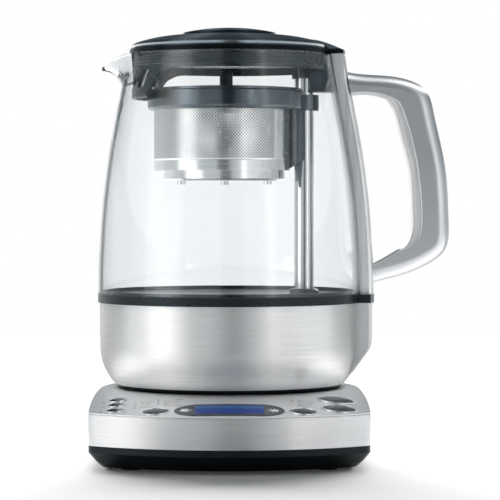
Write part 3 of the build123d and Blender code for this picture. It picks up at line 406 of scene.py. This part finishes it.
# ---- Handle ----------------------------------------------------------------------------------
# A die-cast spine runs up the glass and carries the hollow handle, both satin chromed. A paler
# moulded inlay lines the inside of the grip.
satin_chrome = bare_metal("satin_chrome", (0.64, 0.65, 0.665), (0.70, 0.71, 0.725), cloud=12.0,
                          smooth=0.34, rough=0.38, wear=9.0)
dress(satin_chrome, "handle_shell")
spine_chrome = bare_metal("spine_chrome", (0.66, 0.67, 0.68), (0.90, 0.90, 0.90), cloud=420.0,
                          smooth=0.36, rough=0.40, wear=9.0, stretch=(1, 1, 0.02))
dress(spine_chrome, "handle_spine")
inlay_silver = bare_metal("inlay_silver", (0.92, 0.92, 0.92), (0.95, 0.95, 0.95), cloud=60.0,
                          smooth=0.34, rough=0.40, wear=9.0, metallic=0.3)
dress(inlay_silver, "handle_inlay")


# ---- Lift post and its drive -----------------------------------------------------------------
# A polished stainless tube with the lead screw and the magnet carriage inside it. Its foot is a
# moulded collar on the jug's floor. A grey bracket holds its top, and a black clip hooks that over
# the rim of the glass.
post_steel = bare_metal("post_steel", (0.66, 0.67, 0.68), (0.76, 0.765, 0.77), cloud=260.0,
                        smooth=0.1, rough=0.17, wear=300.0, stretch=(1, 1, 0.05))
dress(post_steel, "lift_tube")
screw_steel = finish("screw_steel", Metallic=1.0)
tint(screw_steel, texture(screw_steel, "Noise", Scale=200.0),
     (noise_low, (0.5, 0.5, 0.5)), (noise_high, (0.6, 0.6, 0.6)))
relief(screw_steel, texture(screw_steel, "Wave", turn=(0, pi / 2, 0), Scale=40.0), 0.0004)
dress(screw_steel, "lead_screw")
magnet_nickel = bare_metal("magnet_nickel", (0.48, 0.47, 0.44), (0.60, 0.59, 0.56), cloud=150.0,
                           smooth=0.2, rough=0.34, wear=260.0)
dress(magnet_nickel, "carriage_magnets", "bracket_magnets")
basket_grey = moulded_plastic("basket_grey", (0.009, 0.012, 0.015), (0.013, 0.017, 0.021), 0.17,
                              grain_depth=0.0000008, gloss=0.9, ior=1.8)
dress(basket_grey, "tube_foot", "rail_bracket", "magnet_carriage")
clip_black = moulded_plastic("clip_black", (0.008, 0.010, 0.012), (0.013, 0.015, 0.018), 0.25)
dress(clip_black, "rim_clip")


# ---- Basket ring, sleeve and lid -------------------------------------------------------------
# The ring, its ear and the sleeve are moulded in a dark blue-grey nylon. The basket's own lid is
# the same, with a black post to lift it by.
dress(basket_grey, "basket_ring", "basket_bracket", "basket_lid")
knob_black = moulded_plastic("knob_black", (0.004, 0.004, 0.005), (0.007, 0.007, 0.008), 0.3)
dress(knob_black, "basket_lid_knob")


# ---- Basket drum and strainer ----------------------------------------------------------------
# The drum is stainless sheet, perforated in staggered rows and rolled round, with a plain strip
# where it is welded beside the post. Its inner faces and the edges of its holes are near black:
# painted shade inside the drum. The strainer in the lid's skirt is the same kind of sheet.
hole_sides = 8
weld = 0.00002
crease_angle = 40
cut_steel = bare_metal("cut_steel", (0.88, 0.885, 0.89), (0.94, 0.94, 0.94), cloud=90.0,
                       smooth=0.20, rough=0.28, wear=240.0)
# near black and dull: painted shade for the drum's inner faces and hole edges, not the steel's own
# colour
painted_shade_inside = finish("painted_shade_inside", Specular_IOR_Level=0.2)
tint(painted_shade_inside, texture(painted_shade_inside, "Noise", Scale=180.0, Detail=3.0),
     (noise_low, (0.010, 0.011, 0.012)), (noise_high, (0.022, 0.023, 0.024)))
vary(painted_shade_inside, "Roughness", texture(painted_shade_inside, "Noise", Scale=240.0), 0.55, 0.7)


def repeat(sheet, count, step):
    """Copy the sheet count times in a row, each copy moved on by step."""
    first = sheet.verts[:] + sheet.edges[:] + sheet.faces[:]
    for number in range(1, count):
        copy = bmesh.ops.duplicate(sheet, geom=first)["geom"]
        bmesh.ops.translate(sheet, vec=Vector(step) * number, verts=verts_of(copy))


def perforated_sheet(width, height, pitch, radius):
    """Flat sheet in X and Z from 0, with staggered holes: every second small square has one."""
    columns = round(width / pitch)
    rows = round(height / pitch)
    step_x = width / columns
    step_z = height / rows
    quarter = pitch / 4
    sheet = bmesh.new()
    corners = bmesh.ops.create_grid(sheet, x_segments=1, y_segments=1, size=quarter)["verts"]
    bmesh.ops.delete(sheet, geom=corners[0].link_faces[:], context="FACES_ONLY")
    bmesh.ops.create_circle(sheet, segments=hole_sides, radius=radius)
    bmesh.ops.triangle_fill(sheet, use_beauty=True, edges=sheet.edges[:])
    repeat(sheet, 2, (pitch / 2, pitch / 2, 0))
    for side in (1, -1):
        turn = Matrix.Translation((quarter + side * quarter, quarter - side * quarter, 0))
        bmesh.ops.create_grid(sheet, x_segments=1, y_segments=1, size=quarter, matrix=turn)
    bmesh.ops.translate(sheet, vec=(quarter, quarter, 0), verts=sheet.verts)
    bmesh.ops.scale(sheet, vec=(step_x / pitch, step_z / pitch, 1), verts=sheet.verts)
    repeat(sheet, columns, (step_x, 0, 0))
    repeat(sheet, rows, (0, step_z, 0))
    bmesh.ops.remove_doubles(sheet, verts=sheet.verts, dist=pitch / 50)
    bmesh.ops.rotate(sheet, matrix=Matrix.Rotation(pi / 2, 3, "X"), verts=sheet.verts)
    return sheet


def widen(sheet, axis, side, distance, steps=1):
    """Add a plain strip along the sheet's low (side -1) or high (side 1) edge on an axis."""
    for _ in range(steps):
        limit = max(side * v.co[axis] for v in sheet.verts) - weld
        edges = [e for e in sheet.edges if min(side * v.co[axis] for v in e.verts) > limit]
        strip = bmesh.ops.extrude_edge_only(sheet, edges=edges)["geom"]
        move = Vector((0, 0, 0))
        move[axis] = side * distance / steps
        bmesh.ops.translate(sheet, vec=move, verts=verts_of(strip))


def roll(sheet, radius, start, low, centre_x):
    """Roll a flat sheet round Z, from the start angle on."""
    for vert in sheet.verts:
        angle = start + vert.co.x / radius
        vert.co = (centre_x + radius * cos(angle), radius * sin(angle), low + vert.co.z)


def thicken(rolled, thickness):
    """Give a rolled sheet its thickness, from its face inwards."""
    wall = rolled.modifiers.new("sheet", "SOLIDIFY")
    wall.thickness = thickness
    wall.offset = -1
    return wall


drum_low, drum_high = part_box("basket_mesh")
drum_r = (drum_high.x - drum_low.x) / 2
drum_x = (drum_high.x + drum_low.x) / 2
drum_sheet = 0.0006
drum_pitch, drum_hole_r = 0.00194, 0.00046
drum_edge = 0.0012
plain_half = radians(41)
plain_steps = 24
holes_round = 2 * pi - 2 * plain_half
drum = perforated_sheet(holes_round * drum_r, drum_high.z - drum_low.z - 2 * drum_edge,
                        drum_pitch, drum_hole_r)
along_x, along_z = 0, 2
widen(drum, along_z, -1, drum_edge)
widen(drum, along_z, 1, drum_edge)
widen(drum, along_x, 1, 2 * plain_half * drum_r, plain_steps)
roll(drum, drum_r, plain_half, drum_low.z + drum_edge, drum_x)
bmesh.ops.remove_doubles(drum, verts=drum.verts, dist=weld)
basket_drum = piece("basket_drum", drum, "basket", cut_steel, crease_angle)
drum_wall = thicken(basket_drum, drum_sheet)
# the inner faces and hole edges get the painted shade
basket_drum.data.materials.append(painted_shade_inside)
drum_wall.material_offset = 1
drum_wall.material_offset_rim = 1
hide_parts("basket_mesh")

filter_low, filter_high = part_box("spout_filter")
filter_r = -filter_low.x
filter_half = asin(filter_high.y / filter_r)
filter_sheet = 0.0005
filter_pitch, filter_hole_r = 0.0022, 0.00062
strainer = perforated_sheet(2 * filter_half * filter_r, filter_high.z - filter_low.z,
                            filter_pitch, filter_hole_r)
roll(strainer, filter_r, pi - filter_half, filter_low.z, 0)
spout_strainer = piece("spout_strainer", strainer, "lid", cut_steel, crease_angle)
thicken(spout_strainer, filter_sheet)
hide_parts("spout_filter")
dress(cut_steel, "basket_mesh", "spout_filter")

hoop_steel = brushed_steel("hoop_steel", (0.78, 0.785, 0.79), (0.88, 0.88, 0.885), 0.2, level_lay)
dress(hoop_steel, "basket_lower_ring", "basket_floor")


# ---- Jug lid ---------------------------------------------------------------------------------
# A glossy black cap with a round grip, both moulded, over a dark grey plug ring with a silicone
# seal. The cap's tail covers the top of the spine, and on its turned-down edge the sheen is tinted
# dark: painted shade.
lid_black = moulded_plastic("lid_black", (0.006, 0.007, 0.009), (0.009, 0.011, 0.013), 0.2,
                            grain_depth=0.0000008, gloss=0.9, ior=1.8)
# below these heights the sheen is tinted dark: painted shade on the cap's turned-down edge
edge_bottom, edge_top = 0.2464, 0.2472
lid_edge_painted_shade = span(lid_black.node_tree, along(lid_black, "Z"), edge_bottom, edge_top)
tint(lid_black, lid_edge_painted_shade, (0.0, (0.04, 0.05, 0.055)), (1.0, cool_sheen), socket="Specular Tint")
dress(lid_black, "lid_cap", "lid_knob")
skirt_grey = moulded_plastic("skirt_grey", (0.009, 0.012, 0.015), (0.013, 0.017, 0.021), 0.25,
                             grain_depth=0.0000008, gloss=0.7, ior=1.6)
dress(skirt_grey, "lid_skirt")


# ---- Floor and studio ------------------------------------------------------------------------
# The floor is a matt disc. Towards the back, under the lamps, its colour darkens: painted shade,
# so that steel mirrors a dark floor there. A glow that only the camera and the glass see keeps it
# pale. The studio is white, with soft boxes round and above, a dark card in front and slate sides
# that draw the edges of steel and glass.
floor_r = 1.3
floor_shape = bmesh.new()
bmesh.ops.create_circle(floor_shape, cap_ends=True, segments=96, radius=floor_r)
floor_mesh = bpy.data.meshes.new("floor")
floor_shape.to_mesh(floor_mesh)
floor_shape.free()
floor = bpy.data.objects.new("floor", floor_mesh)
bpy.context.scene.collection.objects.link(floor)


def reckon(tree, operation, first, second=0.0):
    """One step of arithmetic between numbers or sockets in a node tree."""
    made = tree.nodes.new("ShaderNodeMath")
    made.operation = operation
    for number, value in enumerate((first, second)):
        if isinstance(value, (int, float)):
            made.inputs[number].default_value = value
        else:
            tree.links.new(value, made.inputs[number])
    return made.outputs["Value"]


floor_white = finish("floor_white", Roughness=0.9, Specular_IOR_Level=0.0,
                     Emission_Color=(1, 1, 1, 1))
floor_tree = floor_white.node_tree
floor_shader = floor_tree.nodes["Principled BSDF"]
floor_y = along(floor_white, "Y")
fade_start, fade_end = -0.05, 0.18
# painted shade: the floor's colour darkens towards the back, where steel mirrors it
floor_painted_shade = span(floor_tree, floor_y, fade_start, fade_end, 0.95, 0.22, smooth=True)
floor_tree.links.new(floor_painted_shade, floor_shader.inputs["Base Color"])
floor_glow = span(floor_tree, floor_y, fade_start, fade_end, 0.03, 0.88, smooth=True)
seen = floor_tree.nodes.new("ShaderNodeLightPath")
seen_plain = reckon(floor_tree, "MAXIMUM", seen.outputs["Is Camera Ray"],
                    seen.outputs["Is Transmission Ray"])
floor_tree.links.new(reckon(floor_tree, "MULTIPLY", seen_plain, floor_glow),
                     floor_shader.inputs["Emission Strength"])
floor_mesh.materials.append(floor_white)

# azimuth from the front in degrees, towards +X, and what a reflection meets there
studio_round = ((-180, 0.85), (-150, 0.85), (-125, 0.8), (-105, 0.55), (-84, 0.5), (-74, 1.5),
                (-64, 2.4), (-54, 2.3), (-46, 1.7), (-38, 0.74), (-28, 0.60), (-14, 0.62),
                (12, 0.46), (24, 0.68), (30, 0.92), (37, 2.1), (44, 1.15), (52, 1.0), (62, 0.9),
                (76, 0.65), (88, 0.5), (105, 0.55), (125, 0.75), (146, 0.85), (180, 0.85))
# height of the direction, and what share of that level is left there
front_up = ((0.0, 1.0), (0.12, 0.95), (0.30, 0.62), (0.42, 0.50), (1.0, 0.50))
back_up = ((0.0, 1.0), (0.08, 1.0), (0.16, 0.18), (1.0, 0.18))
white = 1.0
overhead_level = 2.8
card_level = 0.06
slate = 0.07
ambient = 0.03
world = bpy.data.worlds.new("studio")
bpy.context.scene.world = world
world.use_nodes = True
tree = world.node_tree
tree.nodes.clear()


def studio(operation, first, second=0.0):
    """One step of arithmetic in the studio's nodes."""
    return reckon(tree, operation, first, second)


def studio_ramp(place, stops):
    """The level at a place from 0 to 1, eased between stops of (place, level)."""
    ramp = tree.nodes.new("ShaderNodeValToRGB")
    ramp.color_ramp.interpolation = "EASE"
    ramp.color_ramp.elements.remove(ramp.color_ramp.elements[1])
    top = max(level for at, level in stops)
    for number, (at, level) in enumerate(stops):
        stop = ramp.color_ramp.elements[0] if number == 0 else ramp.color_ramp.elements.new(at)
        stop.position = at
        stop.color = (level / top, level / top, level / top, 1)
    tree.links.new(place, ramp.inputs["Fac"])
    return studio("MULTIPLY", ramp.outputs["Color"], top)


def studio_step(value, start, end):
    """Smooth step from 0 at start to 1 at end."""
    return span(tree, value, start, end, smooth=True)


def studio_mix(first, second, share):
    """The first value, changing over to the second as share goes from 0 to 1."""
    kept = studio("MULTIPLY", first, studio("SUBTRACT", 1.0, share))
    return studio("ADD", kept, studio("MULTIPLY", second, share))


direction = tree.nodes.new("ShaderNodeTexCoord")
parts = tree.nodes.new("ShaderNodeSeparateXYZ")
tree.links.new(direction.outputs["Generated"], parts.inputs["Vector"])
side, depth, height = (parts.outputs[axis] for axis in "XYZ")
# half the azimuth, in radians
half_turn = studio("ARCTAN2", side, studio("SUBTRACT", 1.0, depth))
turn_share = studio("ADD", studio("DIVIDE", half_turn, pi), 0.5)
ring = studio_ramp(turn_share, [(azimuth / 360 + 0.5, level) for azimuth, level in studio_round])
shares = [studio_ramp(height, stops) for stops in (front_up, back_up)]
walls = studio("MULTIPLY", ring, studio_mix(*shares, studio_step(depth, 0.2, 0.55)))
# how far up a surface looks that mirrors this direction to the front
chord = studio("SQRT", studio("SUBTRACT", 2.0, studio("MULTIPLY", 2.0, depth)))
tilt = studio("DIVIDE", height, chord)
overhead = studio("MULTIPLY", studio_step(tilt, 0.46, 0.52), studio_step(tilt, 0.70, 0.64))
open_studio = studio_mix(walls, overhead_level, overhead)
card_left = studio_step(half_turn, -0.075, -0.045)
card_right = studio_step(half_turn, 0.12, 0.085)
reflected = studio_mix(open_studio, card_level, studio("MULTIPLY", card_left, card_right))
# through the glass: slate at the sides, and white nearly straight behind
through_side = studio_mix(reflected, slate, studio_step(depth, -0.1, 0.25))
through = studio_mix(through_side, white, studio_step(depth, 0.950, 0.966))
# a mirror inside the jug sees the studio once its ray has crossed all four faces of the wall
paths = tree.nodes.new("ShaderNodeLightPath")
four_faces = studio("GREATER_THAN", paths.outputs["Transmission Depth"], 3.5)
in_metal = studio("MULTIPLY", four_faces, studio("MINIMUM", paths.outputs["Glossy Depth"], 1.0))
seen_through = studio("MULTIPLY", paths.outputs["Is Transmission Ray"],
                      studio("SUBTRACT", 1.0, in_metal))
lit = studio_mix(reflected, through, seen_through)
soft = studio_mix(lit, ambient, paths.outputs["Is Diffuse Ray"])
strength = studio_mix(soft, white, paths.outputs["Is Camera Ray"])
# darker tones are a little cooler, and white stays white
background = tree.nodes.new("ShaderNodeBackground")
cool = tree.nodes.new("ShaderNodeCombineColor")
above = studio("MAXIMUM", strength, white)
for channel, power in (("Red", 1.15), ("Green", 1.05), ("Blue", 1.0)):
    below = studio("POWER", studio("MINIMUM", strength, white), power)
    tree.links.new(studio("MULTIPLY", above, below), cool.inputs[channel])
tree.links.new(cool.outputs["Color"], background.inputs["Color"])
output = tree.nodes.new("ShaderNodeOutputWorld")
tree.links.new(background.outputs["Background"], output.inputs["Surface"])


def soft_box(name, place, aim, width, height, power):
    """A rectangular lamp at a place, turned to its aim, that lights but is not seen itself."""
    lamp = bpy.data.lights.new(name, "AREA")
    lamp.shape = "RECTANGLE"
    lamp.size = width
    lamp.size_y = height
    lamp.energy = power
    holder = bpy.data.objects.new(name, lamp)
    holder.location = place
    holder.rotation_euler = (Vector(aim) - Vector(place)).to_track_quat("-Z", "Y").to_euler()
    holder.visible_camera = False
    holder.visible_glossy = False
    holder.visible_transmission = False
    bpy.context.scene.collection.objects.link(holder)


deck_front = (0, -0.15, 0)
jug_middle = (0, 0, 0.12)
soft_box("back_low", (0, 2.0, 0.95), deck_front, 5.0, 0.6, 255.0)
soft_box("back_high", (0, 1.0, 1.3), deck_front, 1.6, 0.5, 18.0)
soft_box("front_left", (-1.4, -0.25, 0.7), jug_middle, 0.6, 1.0, 1.0)
soft_box("front_right", (1.4, -0.1, 0.7), jug_middle, 0.5, 1.0, 1.0)


# ---- Camera ----------------------------------------------------------------------------------
# The camera stands in front, level with the middle of the jug, on a long lens.
camera_distance = 1.5
camera_height = 0.1551
lens = 176.6
film = 36.0
frame_px = 500
axis_px = 229.5
horizon_px = 200.0
focal_px = lens / film * frame_px
aim_x = (frame_px / 2 - axis_px) / focal_px * camera_distance
aim_z = camera_height - (frame_px / 2 - horizon_px) / focal_px * camera_distance
camera_data = bpy.data.cameras.new("camera")
camera_data.lens = lens
camera_data.sensor_width = film
camera_data.dof.use_dof = False
camera = bpy.data.objects.new("camera", camera_data)
camera.location = (0, -camera_distance, camera_height)
sight = Vector((aim_x, 0, aim_z)) - camera.location
camera.rotation_euler = sight.to_track_quat("-Z", "Y").to_euler()
bpy.context.scene.collection.objects.link(camera)
bpy.context.scene.camera = camera
bpy.context.scene.view_settings.view_transform = "Standard"
